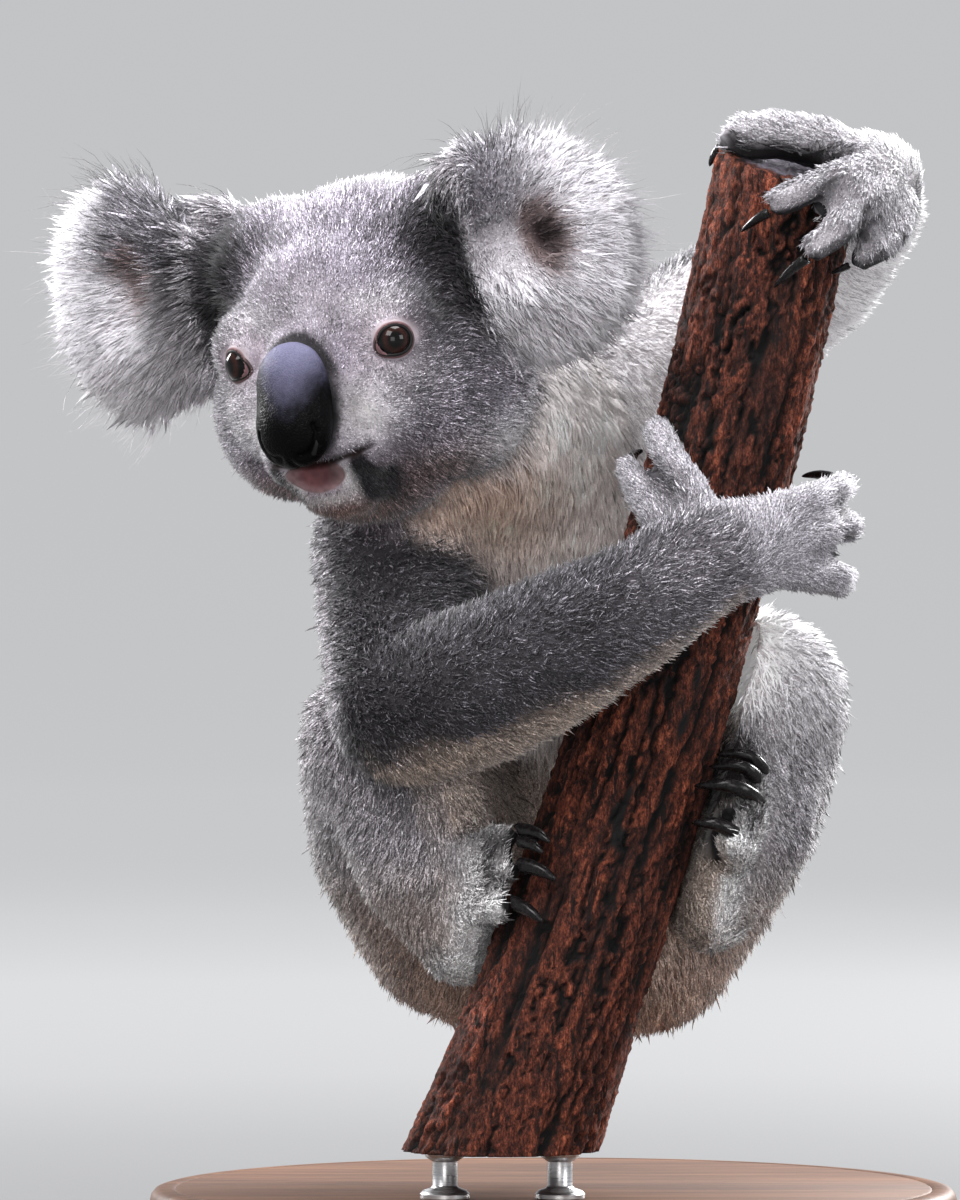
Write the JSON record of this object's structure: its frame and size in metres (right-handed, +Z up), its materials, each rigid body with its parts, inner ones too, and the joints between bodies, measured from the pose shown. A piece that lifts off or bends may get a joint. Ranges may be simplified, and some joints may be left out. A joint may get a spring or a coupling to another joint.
{
  "type": "koala",
  "caption": "Life-size model of a koala clinging to a short cut length of tree trunk, held above a round display base by short steel rods.",
  "frame": {"origin": "centre of the round base's underside, on the floor", "axes": "+X towards the trunk's lean and the raised arm, -Y the side on which the near arm crosses the trunk, +Z up"},
  "size_m": [0.3766, 0.33, 0.4518],
  "materials": {
    "grey_fur": "dense grizzled grey coat",
    "pale_fur": "soft white to cream coat",
    "eye": "glossy dark brown, wet",
    "nose": "bare black skin with a satin sheen",
    "claw": "black horn, polished by wear",
    "bark": "rough red-brown bark with dark fissures",
    "stand_wood": "oiled dark hardwood, satin",
    "stand_steel": "brushed"
  },
  "bodies": {
    "root": {"abdomen": "grey_fur", "chest": "grey_fur", "claw_foot_left_2": "claw", "claw_foot_left_3": "claw", "claw_foot_left_4": "claw", "claw_foot_left_5": "claw", "claw_foot_right_2": "claw", "claw_foot_right_3": "claw", "claw_foot_right_4": "claw", "claw_foot_right_5": "claw", "claw_hand_left_1": "claw", "claw_hand_left_2": "claw", "claw_hand_left_3": "claw", "claw_hand_left_4": "claw", "claw_hand_left_5": "claw", "claw_hand_right_1": "claw", "claw_hand_right_2": "claw", "claw_hand_right_3": "claw", "claw_hand_right_4": "claw", "claw_hand_right_5": "claw", "ear_left": "pale_fur", "ear_right": "pale_fur", "eye_left": "eye", "eye_right": "eye", "foot_left": "grey_fur", "foot_right": "grey_fur", "forearm_left": "grey_fur", "forearm_right": "grey_fur", "hand_left": "grey_fur", "hand_right": "grey_fur", "head": "grey_fur", "neck": "pale_fur", "nose": "nose", "perch": "bark", "shank_left": "grey_fur", "shank_right": "grey_fur", "stand_base": "stand_wood", "stand_rod_left": "stand_steel", "stand_rod_right": "stand_steel", "thigh_left": "grey_fur", "thigh_right": "grey_fur", "upper_arm_left": "grey_fur", "upper_arm_right": "grey_fur"}
  },
  "joints": []
}
